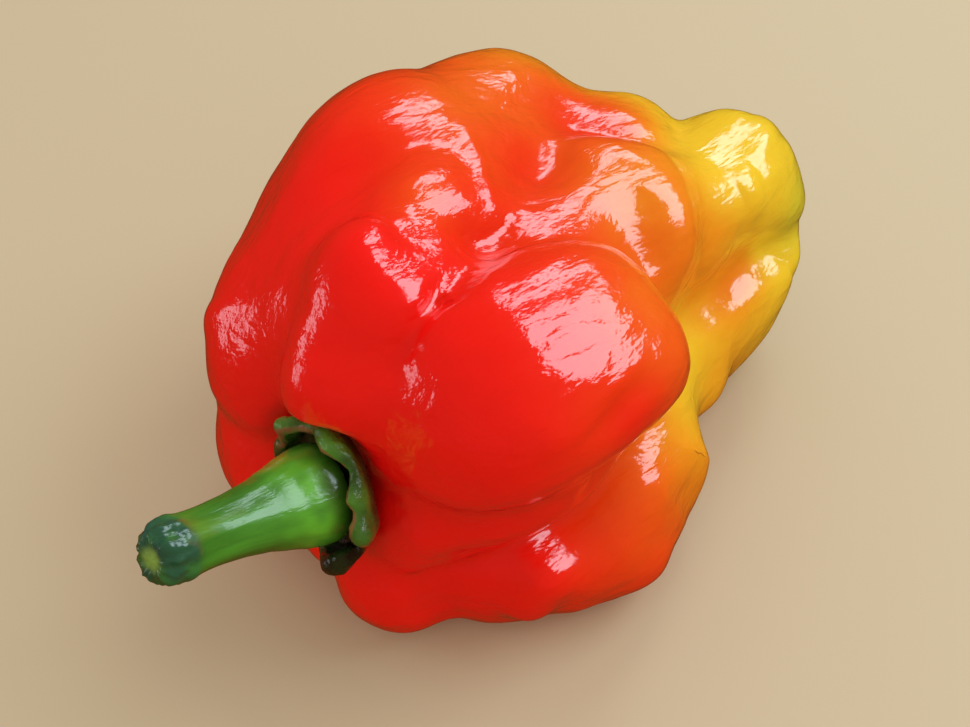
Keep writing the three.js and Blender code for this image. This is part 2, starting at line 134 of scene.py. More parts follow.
TOUCHES = [
    ("hollow beside the crown of the front left lobe", 3, 0.9,
     [[-4.6, 0.4, 33.3]]),
    ("shoulder before the waist", 2.8, 0.9,
     [[12.7, -4.2, 25.2]]),
    ("front ridge of the tip", 2.6, -0.8,
     [[24.6, -2.2, 21.6], [27.4, -2, 21.4]]),
    ("back of the tip", 3, 0.3,
     [[27.5, 3, 23.4]]),
    ("hollow under the tip", 2.4, 1.2,
     [[22.5, -5.4, 17.8], [27, -5.2, 16.8]]),
    ("crease under the front right lobe", 1.8, 1.2,
     [[-14, -7.9, 19.3], [-11.5, -12.2, 19.9], [-7.6, -15.2, 20.8], [-4.2, -16, 22]]),
    ("upper side of the low front", 3.8, -0.6,
     [[-12.5, -10, 15.5], [-8, -12.8, 15.5]]),
    ("fold at the low edge of the front right lobe", 0.9, 0.6,
     [[-3, -15.5, 27], [0, -15.2, 27.8], [3, -14.6, 28]]),
    ("dimple in the front right lobe", 1, -0.25,
     [[-6.2, -14.8, 27.9]]),
    ("right side of the tip", 2.8, -1.7,
     [[32.4, -2.4, 14.2], [31.4, -3.6, 12.4], [30, -4.8, 12]]),
    ("top of the tip", 3, -0.8,
     [[31.2, 3.2, 22.4], [32.3, 0.5, 21.6]]),
    ("waist beside the tip", 2.4, -1.0,
     [[17, -9.2, 8.5]]),
    ("right end of the low front", 3.4, 1.5,
     [[10.6, -15.1, 11.7], [8.8, -16.4, 10.7], [6.5, -17.2, 9.8]]),
    ("low right corner", 2.4, -0.9,
     [[2.2, -17.9, 5.8]]),
    ("ridge of the back right lobe", 2.8, 0.8,
     [[21.5, 11, 25.3], [25, 8, 24.5], [27, 6.8, 23]]),
    ("outer side of the back lobe", 4.5, 0.5,
     [[-2.6, 17.4, 31.2], [-7.2, 16, 29.1], [-13, 14, 25.2]]),
    ("left side of the back lobe", 3.2, -0.6,
     [[-15, 13.2, 23], [-16.8, 11.4, 21.7]]),
    ("vein over the back", 0.55, -0.22,
     [[5.3, 9, 31.2], [4.3, 6.3, 30.8], [3.1, 3.7, 30.4], [2.3, 1.5, 28.9]]),
]

# The seat under the calyx: its middle, the way it faces, and the bump and the hollow that
# make it, each as distance along that way, half depth, half width and blend

SEAT_AT = np.array([-15.9, -3, 17.9])
SEAT_AXIS = np.array([-0.9485, 0.018, 0.3162])
SEAT_FILL = (-4.6, 4, 7.5, 2)
SEAT_HOLLOW = (1.5, 3, 6.6, 0.8)

# Skin: how far in millimetres its points may move onto the folds, in how many rounds, how far
# apart in millimetres the slope is probed and how small it may be, and the size in metres of the
# dimples and ripples

SKIN_REACH = 1.5
SKIN_ROUNDS = 3
PROBE = 0.02
LEAST_SLOPE = 0.05
DIMPLE_SIZE = 0.006
RIPPLE_SIZE = 0.0024

# Ripening: the way along which the pod's colour changes, where on it, in millimetres, it is full red and
# where it has the tip's green tinge, patches that are ahead of that or behind it as middle, reach and
# how much, and where each colour stands between the two ends. Two patches in the fold under the tip hold
# painted shade

RIPE_SLOPE = (1.0, 0.12, 0.0)
RED_AT = -10
TINGE_AT = 38
RIPE_PATCHES = [
    ([10, -13, 11], 9, 12),
    ([-2, -16, 8], 7, 9),
    ([-1, -15, 25], 9, 10),
    ([-2.5, 4, 33], 3.5, 12),
    ([5, 10, 32], 6.5, 7),
    ([18.5, 9, 27], 5, -9),
    ([13, -9, 17], 5, 9),
    ([0.5, -15.6, 25.8], 2.6, -8),
    ([5.5, -9.5, 29.5], 5.5, 6.5),
    ([12.5, -1, 26.5], 4.5, 4.5),
    ([8.5, 6.5, 28.5], 3.5, -6),
    ([24, 1, 22.5], 4.5, 4),
    # These two put darker amber into the fold under the tip: painted shade over the ripening colour
    ([25.5, -4, 15], 2.4, -6),
    ([22.5, -5, 14.5], 2.4, -4),
    ([17.5, 8.5, 25.5], 4, -5),
    ([31, -3, 16], 4, 7),
]
RIPE_COLOURS = [
    (0.00, "deep_red"), (0.18, "red"), (0.36, "red_orange"), (0.50, "orange"),
    (0.64, "amber"), (0.76, "yellow"), (0.88, "yellow"), (1.00, "green_tinge"),
]

# Calyx: its lobes as angle round the stem, spread in degrees, tone from dark to light and how far they
# lift off the pod in millimetres. The tone is partly the calyx's own olive and partly painted light and
# shade: lighter on the lobes that face the light, near black on the low lobe and in the gaps

CALYX_LOBES = [
    (54, 18, 0.9, 0.45),
    (-1, 13, 1.0, 0.2),
    (-27, 9, -0.3, -0.1),
    (-51, 9, 0.8, 0.15),
    (-74, 11, 0.45, 0.1),
    (-104, 14, -1.0, -0.1),
    (-136, 22, -1.2, 0.1),
    (98, 13, -0.5, 0.1),
]

# Calyx, in millimetres: the heights over which it comes free of the pod and out of the painted shade at
# its foot, and its lumps as height, size and field

CALYX_FREE = (0.2, 1.2)
CALYX_FOOT_SHADE = (0.2, 0.7)
CALYX_LUMPS = [(0.16, 1.3, 0), (0.08, 0.5, 7)]
CALYX_DEEPEST = 1.2

# Calyx's dried inner edge: where it begins and is full, in millimetres in from the rim's ridge
# and up to its crest, and in a lobe's tone, then how strong and how mottled it is. The ridge and
# the crest are found in steps of these degrees round the stem

CREST_STEP = 6
DRIED_INSIDE_RIDGE = (-0.15, 0.1)
DRIED_UNDER_CREST = (-0.5, -0.2)
DRIED_TONE = (-0.5, 0)
DRIED_STRENGTH = 1.6
DRIED_MOTTLE = (0.75, 1.6, 0.45, 3)

# Stem: the same curve as the part's, from its foot in the calyx to the cut end, in millimetres

STEM_FOOT_HEIGHT = 0.4
STEM_BEND = 6
STEM_END = np.array([-29.6, -4.4, 24.6])
STEM_LENGTH = 17
STEM_STEPS = 200

# Stem's forms lie by share of its length, with turns in radians and the rest in millimetres

# Swollen end: where it begins and is full, its lumps as height, size and field, and its folds as
# how many go round it, how far they stray, and the size and field of the lumps they stray by

BULB = (0.88, 0.93)
BULB_LUMPS = [(0.2, 1.1, 0), (0.12, 0.5, 5)]
END_FOLDS = (13, 5, 1.2, 8)
END_FOLD_HEIGHT = 0.06
END_FOLD_GIRTH = (0.6, 1.3)

# Ring where the swollen end begins, with folds of its own

RING_AT = 0.885
RING_WIDTH = 0.025
RING_HEIGHT = 0.07
RING_FOLDS = (7, 3, 1.5, 9)
RING_FOLD_HEIGHT = 0.08

# Ribs between the calyx and the swollen end

RIB_COUNT = 5
RIB_HEIGHT = 0.05
RIB_START = (0.05, 0.3)
RIB_TURN = 1

# Hollow in the cut end

CUT_SHARE = (0.97, 0.99)
CUT_GIRTH = (0.35, 1.1)
CUT_DEPTH = 0.25

# Stem's colours: where each begins and is full by share of its length and by turn round it, in
# radians, and how strong it is. A mottle is a middle strength, how much it wavers, and the size
# in millimetres and the field of its lumps

# The shaded colour is painted shade: it darkens the stem's foot by the calyx and its under side, away
# from the light
FOOT_SHADE = (0.12, 0.26)
UNDER_TURN = math.radians(-18)
UNDER_SPREAD = (math.radians(60), math.radians(115))
UNDER_STRENGTH = 0.8
SHADE_STRENGTH = 0.9
YOUNG_START = (0.06, 0.14)
YOUNG_END = (0.25, 0.5)
YOUNG_MOTTLE = (0.8, 0.7, 1.2, 2)
BRUISE_SHARE = (0.82, 0.96)
BRUISE_TURN = -0.1
BRUISE_SPREAD = (0.9, 1.9)
BRUISE_BELOW = 0.5
BRUISE_ON_TOP = 0.7
BRUISE_MOTTLE = (1.1, 1.2, 1, 4)
BRUISE_DEEPEST = 1.1
RING_BRUISE = 0.2
CUT_STRENGTH = 1.2

# Patterns, in lumps to a metre. The skin has blotches of 5 mm, wrinkles of 2 mm and a grain of
# 0.6 mm, coarser than a real skin's so that it shows, all drawn out along the pod. The green has
# blotches of 3 mm and streaks 1 mm across, drawn out along the stem

RIPE_BLOTCHES = 200
SKIN_WRINKLES = 520
SKIN_GRAIN = 1700
ALONG_POD = (0.45, 1, 1)
GREEN_BLOTCHES = 320
GREEN_STREAKS = 900
ALONG_STEM = 0.15

# How much of a pattern goes into the colours, between which values the green turns from dark to
# light, and each surface's relief in metres and coat roughness

BLOTCH_SHARE = 0.12
STREAK_SHARE = 0.6
GREEN_STOPS = (0.58, 0.98)
WRINKLE_HEIGHT = 0.00022
GRAIN_HEIGHT = 0.00005
CALYX_RELIEF = 0.00045
CALYX_GLOSS = 0.26
STEM_RELIEF = 0.00014
STEM_GLOSS = 0.19

# Camera and lights: azimuth and elevation as the views use them, places and sizes in metres, the
# camera's lens and sensor in millimetres. A window pane is how far aside it stands, its width and
# its share of the window's power

CAMERA_TURN = (-38, 52)
CAMERA_TARGET = (-0.002909, -0.002489, 0.0156)
CAMERA_DISTANCE = 0.09
CAMERA_LENS = 42.68
CAMERA_SENSOR = 36
CAMERA_CLIP = (0.005, 10)
LIGHT_TARGET = (0, 0, 0.015)
LIGHT_DISTANCE = 0.5
WINDOW_TURN = (88, 47)
WINDOW_HEIGHT = 0.32
WINDOW_PANES = [("window_near", -0.135, 0.35, 0.7), ("window_far", 0.235, 0.15, 0.3)]
FILL_TURN = (-126, 7)
FILL_SIZE = (0.24, 0.1)

# Meshes: how near points merge, in metres, and how they are smoothed and made finer

MERGE_DISTANCE = 2e-6
SMOOTHING = {"factor": 0.5, "iterations": 4}
FINER = {"levels": 2, "render_levels": 2}


def linear(text):
    """sRGB hex to the linear colour that Blender works in."""
    values = [int(text[i:i + 2], 16) / 255 for i in (1, 3, 5)]
    return tuple(v / 12.92 if v <= 0.04045 else ((v + 0.055) / 1.055) ** 2.4 for v in values)


def unit(v):
    """The same way, one long."""
    return v / np.linalg.norm(v)


def from_turn(azimuth, elevation):
    """Direction towards a camera or light at that azimuth and elevation in degrees."""
    a = math.radians(azimuth)
    e = math.radians(elevation)
    return Vector((math.sin(a) * math.cos(e), -math.cos(a) * math.cos(e), math.sin(e)))


def to_carpels(points):
    """Places in the frame, in metres, to millimetres in the carpels' own frame."""
    return points / MM + CENTRE


def to_frame(points):
    """The way back from the carpels' own frame."""
    return (points - CENTRE) * MM


# The pod's skin as a distance, negative inside


def turn_axes(turn):
    """Rows are the turned axes of a bump."""
    yaw, pitch, roll = (math.radians(t) for t in turn)
    return np.array(Euler((roll, pitch, yaw), "XYZ").to_matrix()).T


def join(a, b, blend):
    """Union of two distances with a soft fillet of that width."""
    h = np.maximum(blend - np.abs(a - b), 0) / blend
    return np.minimum(a, b) - h * h * blend / 4


def ellipsoid(points, at, size, axes, square=2):
    """Rough distance to an ellipsoid, flatter on its sides the more its square is over 2."""
    spots = np.abs((points - np.array(at)) @ axes.T / np.array(size))
    near = (spots ** square).sum(1) ** (1 / square)
    slope = np.linalg.norm(spots ** (square - 1) / np.array(size), axis=1)
    return (near - 1) * near ** (square - 1) / (slope + TINY)


def near_line(points, line):
    """Each point's squared distance to a line, and how far along it from 0 to 1 that is.
    On a line of one point it is always half way."""
    line = np.array(line, float)
    if len(line) == 1:
        away = points - line[0]
        return (away * away).sum(1), np.full(len(points), 0.5)
    best = np.full(len(points), np.inf)
    where = np.zeros(len(points))
    for i in range(len(line) - 1):
        span = line[i + 1] - line[i]
        start = points - line[i]
        t = np.clip(start @ span / (span @ span), 0, 1)
        away = start - t[:, None] * span
        square = (away * away).sum(1)
        closer = square < best
        best = np.where(closer, square, best)
        where = np.where(closer, (i + t) / (len(line) - 1), where)
    return best, where


def seat_axes():
    """Out of the seat, up along it and across it."""
    out = unit(SEAT_AXIS)
    up = unit(np.array([0, 0, 1.0]) - out * out[2])
    return out, up, np.cross(out, up)


def pod_distance(points):
    """Distance to the pod's skin, from its carpels, its seat, its creases and its touches."""
    distance = None
    for name, crease, bumps in CARPELS:
        carpel = None
        for at, size, turn, blend, *square in bumps:
            one = ellipsoid(points, at, size, turn_axes(turn), *square)
            carpel = one if carpel is None else join(carpel, one, blend)
        distance = carpel if distance is None else join(distance, carpel, crease)
    out, up, back = seat_axes()
    axes = np.array([out, up, back])
    for (along, half, across, blend), sign in ((SEAT_FILL, 1), (SEAT_HOLLOW, -1)):
        seat = ellipsoid(points, SEAT_AT + along * out, [half, across, across], axes)
        distance = sign * join(sign * distance, seat, blend)
    for name, width, depth, line in CREASES + TOUCHES:
        square, where = near_line(points, line)
        fading = np.sqrt(np.sin(np.pi * (CREASE_END + (1 - 2 * CREASE_END) * where)))
        distance = distance + depth * fading * np.exp(-square / width ** 2)
    return distance


def onto_skin(points):
    """Moves points along the distance's slope until they lie on the skin."""
    start = points
    for _ in range(SKIN_ROUNDS):
        distance = pod_distance(points)
        slope = np.zeros_like(points)
        for axis in range(3):
            step = np.zeros(3)
            step[axis] = PROBE
            slope[:, axis] = (pod_distance(points + step) - pod_distance(points - step)) / (2 * PROBE)
        square = np.maximum((slope * slope).sum(1), LEAST_SLOPE)
        points = points - slope * (distance / square)[:, None]
    moved = points - start
    far = np.maximum(np.linalg.norm(moved, axis=1), TINY)
    return start + moved * np.minimum(1, SKIN_REACH / far)[:, None]


# Meshes


def deselect_all():
    bpy.ops.object.select_all(action="DESELECT")


def pick(piece):
    """Makes a piece the only selected and the active object."""
    deselect_all()
    piece.select_set(True)
    bpy.context.view_layer.objects.active = piece


def copy_of_node(node, name):
    """A merged copy of a node's mesh as a piece of its own."""
    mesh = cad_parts[node].data.copy()
    mesh.name = name
    mesh.materials.clear()
    piece = bpy.data.objects.new(name, mesh)
    bpy.context.scene.collection.objects.link(piece)
    pick(piece)
    bpy.ops.object.mode_set(mode="EDIT")
    bpy.ops.mesh.select_all(action="SELECT")
    bpy.ops.mesh.remove_doubles(threshold=MERGE_DISTANCE)
    bpy.ops.object.mode_set(mode="OBJECT")
    return piece


def cut_finer(piece, cuts):
    """Cuts each edge of a piece in equal lengths."""
    pick(piece)
    bpy.ops.object.mode_set(mode="EDIT")
    bpy.ops.mesh.select_all(action="SELECT")
    bpy.ops.mesh.subdivide(number_cuts=cuts)
    bpy.ops.object.mode_set(mode="OBJECT")


def places(piece):
    found = np.empty(len(piece.data.vertices) * 3)
    piece.data.vertices.foreach_get("co", found)
    return found.reshape(-1, 3)


def put(piece, points):
    piece.data.vertices.foreach_set("co", np.ascontiguousarray(points).ravel())
    piece.data.update()


def modify(piece, kind, settings):
    """Adds a modifier with its settings and applies it."""
    modifier = piece.modifiers.new(kind.lower(), kind)
    for name, value in settings.items():
        setattr(modifier, name, value)
    pick(piece)
    bpy.ops.object.modifier_apply(modifier=modifier.name)


def attribute(piece, name, values):
    """Keeps a number or a place for each point, for the materials to read."""
    kind = "FLOAT" if values.ndim == 1 else "FLOAT_VECTOR"
    field = "value" if values.ndim == 1 else "vector"
    layer = piece.data.attributes.new(name, kind, "POINT")
    layer.data.foreach_set(field, np.ascontiguousarray(values, dtype=np.float32).ravel())


def cloud(name, scale):
    """Soft noise for a displacement, its lumps scale metres across."""
    texture = bpy.data.textures.new(name, "CLOUDS")
    texture.noise_scale = scale
    texture.noise_depth = 1
    texture.noise_basis = "ORIGINAL_PERLIN"
    return texture


def lumps(points, size, apart=0.0):
    """Soft noise from about -1 to 1 at each place; apart picks another field of lumps."""
    return np.array([noise.noise(Vector(p / size) + Vector((apart, 0, 0))) for p in points])


def rough(points, fields):
    """Lumps of several sizes on top of each other, each as height, size and field."""
    return sum(height * lumps(points, size, apart) for height, size, apart in fields)


def mottle(points, middle, waver, size, apart):
    """A strength that wavers round its middle from lump to lump."""
    return middle + waver * lumps(points, size, apart)


def folds(points, turn, count, stray, size, apart):
    """Waves from -1 to 1 round the stem that stray from side to side."""
    return np.cos(count * turn + stray * lumps(points, size, apart))


def ease(values, low, high):
    """Soft step from 0 at low to 1 at high."""
    t = np.clip((values - low) / (high - low), 0, 1)
    return t * t * (3 - 2 * t)


def fade(values, full, gone):
    """Soft step from 1 at full to 0 at gone."""
    return ease(-values, -gone, -full)


def raise_skin(piece, heights):
    """Moves each point along its normal by its height in millimetres."""
    normals = np.empty(len(piece.data.vertices) * 3)
    piece.data.vertices.foreach_get("normal", normals)
    put(piece, places(piece) + normals.reshape(-1, 3) * heights[:, None] * MM)


def finish_piece(piece, node, material):
    """Smooths a piece and puts it in the node's place."""
    piece.data.materials.append(material)
    pick(piece)
    bpy.ops.object.shade_smooth()
    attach(piece, "root")
    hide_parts(node)


# Materials


def new_material(name):
    material = bpy.data.materials.new(name)
    material.use_nodes = True
    material.node_tree.nodes.clear()
    return material, material.node_tree


def add_node(tree, kind, settings=None, inputs=None):
    """Adds a node with its settings, values and links."""
    node = tree.nodes.new(kind)
    for name, value in (settings or {}).items():
        setattr(node, name, value)
    for name, value in (inputs or {}).items():
        if isinstance(value, bpy.types.NodeSocket):
            tree.links.new(value, node.inputs[name])
        else:
            node.inputs[name].default_value = value
    return node


def set_ramp(node, stops):
    ramp = node.color_ramp
    while len(ramp.elements) > 1:
        ramp.elements.remove(ramp.elements[0])
    for i, (place, tint) in enumerate(stops):
        element = ramp.elements[0] if i == 0 else ramp.elements.new(place)
        element.position = place
        element.color = (*tint, 1)


def ripe_colour(tree, along, props):
    """The skin's colour by how ripe it is, a little uneven in soft blotches."""
    ripe = add_node(tree, "ShaderNodeAttribute", {"attribute_name": "ripeness"})
    blotches = add_node(tree, "ShaderNodeTexNoise", None,
                        {"Vector": along, "Scale": RIPE_BLOTCHES, "Detail": 4, "Roughness": 0.55})
    shift = add_node(tree, "ShaderNodeMath", {"operation": "MULTIPLY_ADD"},
                     {0: blotches.outputs["Fac"], 1: BLOTCH_SHARE, 2: ripe.outputs["Fac"]})
    centred = add_node(tree, "ShaderNodeMath", {"operation": "SUBTRACT"},
                       {0: shift.outputs[0], 1: BLOTCH_SHARE / 2})
    ramp = add_node(tree, "ShaderNodeValToRGB", None, {"Fac": centred.outputs[0]})
    ramp.color_ramp.interpolation = "B_SPLINE"
    set_ramp(ramp, [(place, getattr(props, name)) for place, name in RIPE_COLOURS])
    return ramp.outputs[0]


def waxy_pod_skin(props):
    """Ripe pepper skin: a thin clear wax over soft flesh, so a sharp gloss lies over
    a deep colour that glows a little where the flesh is thin."""
    material, tree = new_material("waxy_pod_skin")
    where = add_node(tree, "ShaderNodeTexCoord")
    along = add_node(tree, "ShaderNodeMapping", {"vector_type": "POINT"},
                     {"Vector": where.outputs["Object"], "Scale": ALONG_POD}).outputs[0]
    wide = add_node(tree, "ShaderNodeTexNoise", None,
                    {"Vector": along, "Scale": SKIN_WRINKLES, "Detail": 3, "Roughness": 0.5,
                     "Distortion": 0.4})
    fine = add_node(tree, "ShaderNodeTexNoise", None,
                    {"Vector": along, "Scale": SKIN_GRAIN, "Detail": 3, "Roughness": 0.6})
    wrinkles = add_node(tree, "ShaderNodeBump", None,
                        {"Strength": 1.0, "Distance": WRINKLE_HEIGHT, "Height": wide.outputs["Fac"]})
    grain = add_node(tree, "ShaderNodeBump", None,
                     {"Strength": 1.0, "Distance": GRAIN_HEIGHT, "Height": fine.outputs["Fac"],
                      "Normal": wrinkles.outputs[0]})
    shader = add_node(tree, "ShaderNodeBsdfPrincipled", None, {
        "Base Color": ripe_colour(tree, along, props),
        "Roughness": 0.4,
        "IOR": 1.45,
        "Subsurface Weight": 0.2,
        "Subsurface Radius": (1.0, 0.3, 0.1),
        "Subsurface Scale": 0.002,
        "Specular IOR Level": 0.08,
        "Coat Weight": 1.0,
        "Coat Roughness": 0.08,
        "Coat IOR": 1.8,
        "Normal": wrinkles.outputs[0],
        "Coat Normal": grain.outputs[0],
    })
    add_node(tree, "ShaderNodeOutputMaterial", None, {"Surface": shader.outputs[0]})
    return material


def green_flesh(name, light, dark, zones, gloss, relief):
    """Green plant tissue: soft and wet-looking, with streaks and blotches, and with each
    zone's colour laid over it where the point field of that name says so."""
    material, tree = new_material(name)
    grain = add_node(tree, "ShaderNodeAttribute", {"attribute_name": "grain"}).outputs["Vector"]
    streaks = add_node(tree, "ShaderNodeTexNoise", None,
                       {"Vector": grain, "Scale": GREEN_STREAKS, "Detail": 4, "Roughness": 0.6})
    blotches = add_node(tree, "ShaderNodeTexNoise", None,
                        {"Vector": grain, "Scale": GREEN_BLOTCHES, "Detail": 3, "Roughness": 0.55})
    both = add_node(tree, "ShaderNodeMath", {"operation": "MULTIPLY_ADD"},
                    {0: streaks.outputs["Fac"], 1: STREAK_SHARE, 2: blotches.outputs["Fac"]}).outputs[0]
    ramp = add_node(tree, "ShaderNodeValToRGB", None, {"Fac": both})
    set_ramp(ramp, zip(GREEN_STOPS, (dark, light)))
    tint = ramp.outputs[0]
    for field, over in zones:
        share = add_node(tree, "ShaderNodeAttribute", {"attribute_name": field})
        ragged = add_node(tree, "ShaderNodeMath", {"operation": "MULTIPLY", "use_clamp": True},
                          {0: share.outputs["Fac"], 1: both})
        tint = add_node(tree, "ShaderNodeMix", {"data_type": "RGBA"},
                        {0: ragged.outputs[0], 6: tint, 7: (*over, 1)}).outputs[2]
    bump = add_node(tree, "ShaderNodeBump", None, {"Strength": 1.0, "Distance": relief, "Height": both})
    shader = add_node(tree, "ShaderNodeBsdfPrincipled", None, {
        "Base Color": tint,
        "Roughness": 0.4,
        "IOR": 1.45,
        "Specular IOR Level": 0.15,
        "Subsurface Weight": 0.1,
        "Subsurface Radius": (0.5, 1.0, 0.2),
        "Subsurface Scale": 0.0006,
        "Coat Weight": 1.0,
        "Coat Roughness": gloss,
        "Coat IOR": 1.7,
        "Normal": bump.outputs[0],
        "Coat Normal": bump.outputs[0],
    })
    add_node(tree, "ShaderNodeOutputMaterial", None, {"Surface": shader.outputs[0]})
    return material


def calyx_green(props):
    """Calyx: thin leafy tissue with a rough satin gloss, olive on its lobes and lighter where they face
    the light, which is partly painted light, with painted shade that makes it almost black between them,
    on its low lobe and at its foot, and brown where its inner edge has dried."""
    zones = [("olive", props.calyx_olive), ("deep", props.calyx_painted_shade), ("dried", props.calyx_dried)]
    return green_flesh("calyx_green", props.calyx_light, props.calyx_dark, zones,
                       CALYX_GLOSS, CALYX_RELIEF)


def stem_green(props):
    """Stem: firm stalk under a smooth wax, yellow-green above the calyx, with painted shade on its under
    side and at its foot by the calyx, and bruised to a dull blue-green where it was picked."""
    zones = [("young", props.stem_young), ("shaded", props.stem_painted_shade),
             ("bruised", props.stem_end), ("cut", props.stem_cut)]
    return green_flesh("stem_green", props.stem_light, props.stem_dark, zones,
                       STEM_GLOSS, STEM_RELIEF)


def painted_board(props):
    """Painted board: matt and even, so that only the pepper's soft shadow shows on it."""
    material, tree = new_material("painted_board")
    shader = add_node(tree, "ShaderNodeBsdfPrincipled", None,
                      {"Base Color": (*props.floor_colour, 1), "Roughness": 0.6})
    add_node(tree, "ShaderNodeOutputMaterial", None, {"Surface": shader.outputs[0]})
    return material


# Sizes and colours that a user would change


def colour(name, text, description):
    return bpy.props.FloatVectorProperty(
        name=name, description=description, subtype="COLOR", size=3, min=0, max=1,
        default=linear(text))


class PepperPod(bpy.types.PropertyGroup):
    cuts: bpy.props.IntProperty(
        name="Cuts", description="Cuts made in each edge of the pod's copy", default=3, min=0, max=3)
    swell: bpy.props.FloatProperty(
        name="Swell", description="Height of the soft dimples in the skin",
        default=0.00035, subtype="DISTANCE", unit="LENGTH", precision=5)
    ripple: bpy.props.FloatProperty(
        name="Ripple", description="Height of the finer ripples in the skin",
        default=0.00014, subtype="DISTANCE", unit="LENGTH", precision=5)
    deep_red: colour("Deep red", "#F00C08", "Skin at the stem end")
    red: colour("Red", "#F01206", "Ripe skin")
    red_orange: colour("Red orange", "#EF3206", "Skin where the red turns")
    orange: colour("Orange", "#EC580A", "Skin over the back")
    amber: colour("Amber", "#EC8E10", "Skin round the waist")
    yellow: colour("Yellow", "#F0C224", "Skin of the tip")
    green_tinge: colour("Green tinge", "#CABF2C", "Last unripe skin at the tip")


class PepperGreens(bpy.types.PropertyGroup):
    stem_light: colour("Stem, light", "#4C9428", "Light streaks of the stem")
    stem_dark: colour("Stem, dark", "#2A6616", "Dark streaks of the stem")
    stem_young: colour("Stem, young", "#68BE2C", "Yellow-green zone above the calyx")
    # Painted shade on the stem's under side and at its foot by the calyx
    stem_painted_shade: colour("Stem, shaded", "#243406", "Under side and foot of the stem")
    stem_end: colour("Stem, end", "#1A4C3E", "Bruised blue-green end of the stem")
    stem_cut: colour("Stem, cut", "#86A846", "Pale spot in the cut end")
    calyx_light: colour("Calyx, light", "#3C6E20", "Light part of the calyx")
    calyx_dark: colour("Calyx, dark", "#1C3A10", "Dark part of the calyx")
    calyx_olive: colour("Calyx, lobes", "#548E2A", "Olive lobes of the calyx")
    # Painted shade on the calyx's low lobe, in the gaps between lobes and at its foot
    calyx_painted_shade: colour("Calyx, low lobe", "#0C1206", "Dark lobe and the gaps between lobes")
    calyx_dried: colour("Calyx, edge", "#8A5A34", "Dried edge of the calyx")


class PepperStage(bpy.types.PropertyGroup):
    floor_size: bpy.props.FloatProperty(
        name="Floor", description="Side of the floor", default=3.0, subtype="DISTANCE", unit="LENGTH")
    floor_colour: colour("Floor colour", "#C4B08E", "Plain pale floor")
    window_power: bpy.props.FloatProperty(
        name="Window", description="Power of the large window light in watts", default=1.95)
    window_tint: colour("Window colour", "#E1F3FF", "Cool light of the window")
    fill_power: bpy.props.FloatProperty(
        name="Fill", description="Power of the fill light in watts", default=0.15)
    fill_tint: colour("Fill colour", "#F4F4FF", "Light of the fill")
    sky: bpy.props.FloatProperty(
        name="Sky", description="Strength of the even light all round", default=0.86)
    sky_tint: colour("Sky colour", "#FFFAF2", "Even light all round")
    room: bpy.props.FloatProperty(
        name="Room", description="Strength of what the gloss reflects all round", default=0.17)
    room_tint: colour("Room colour", "#E88A48", "Warm colour that the gloss reflects all round")


# Pod


class PEPPER_OT_pod(bpy.types.Operator):
    """Pod: a fine copy of the frame's pod, its folds sharpened and its skin given soft dimples"""
    bl_idname = "pepper.pod"
    bl_label = "Pod"

    def execute(self, context):
        props = context.scene.pepper_pod
        pod = copy_of_node("pod", "habanero_pod")
        cut_finer(pod, props.cuts)
        put(pod, to_frame(onto_skin(to_carpels(places(pod)))))
        modify(pod, "SMOOTH", SMOOTHING)
        for name, size, height in (("dimples", DIMPLE_SIZE, props.swell),
                                   ("ripples", RIPPLE_SIZE, props.ripple)):
            modify(pod, "DISPLACE", {"texture": cloud(name, size), "strength": height,
                                     "mid_level": 0.5, "texture_coords": "LOCAL"})
        points = places(pod)
        points[:, 2] = np.maximum(points[:, 2], 0)
        put(pod, points)
        attribute(pod, "ripeness", ripeness(to_carpels(points)))
        finish_piece(pod, "pod", waxy_pod_skin(props))
        return {"FINISHED"}


def ripeness(points):
    """0 where the skin is red to 1 where it is still yellow-green."""
    along = points @ np.array(RIPE_SLOPE)
    for at, reach, amount in RIPE_PATCHES:
        away = points - np.array(at)
        along = along + amount * np.exp(-(away * away).sum(1) / reach ** 2)
    return np.clip((along - RED_AT) / (TINGE_AT - RED_AT), 0, 1)


# Calyx


def calyx_places(points):
    """Each point's angle, radius and height in the calyx, and its lobe's tone and lift."""
    out, up, back = seat_axes()
    local = points - SEAT_AT
    across = local @ back
    along = local @ up
    angle = np.degrees(np.arctan2(across, along))
    tone = np.zeros(len(points))
    lift = np.zeros(len(points))
    for at, spread, shade, rise in CALYX_LOBES:
        off = (angle - at + 180) % 360 - 180
        share = np.exp(-(off / spread) ** 2)
        tone += shade * share
        lift += rise * share
    return angle, np.hypot(across, along), local @ out, tone, lift


def crest_of(angle, radius, height):
    """Height and radius of the calyx's rim at each point's angle."""
    count = 360 // CREST_STEP
    sector = ((angle + 180) // CREST_STEP).astype(int)
    tops = []
    ridges = []
    for i in range(count):
        here = np.flatnonzero(sector == i)
        top = here[height[here].argmax()]
        tops.append(height[top])
        ridges.append(radius[top])
    middles = -180 + CREST_STEP * (np.arange(count) + 0.5)
    return np.interp(angle, middles, tops, period=360), np.interp(angle, middles, ridges, period=360)


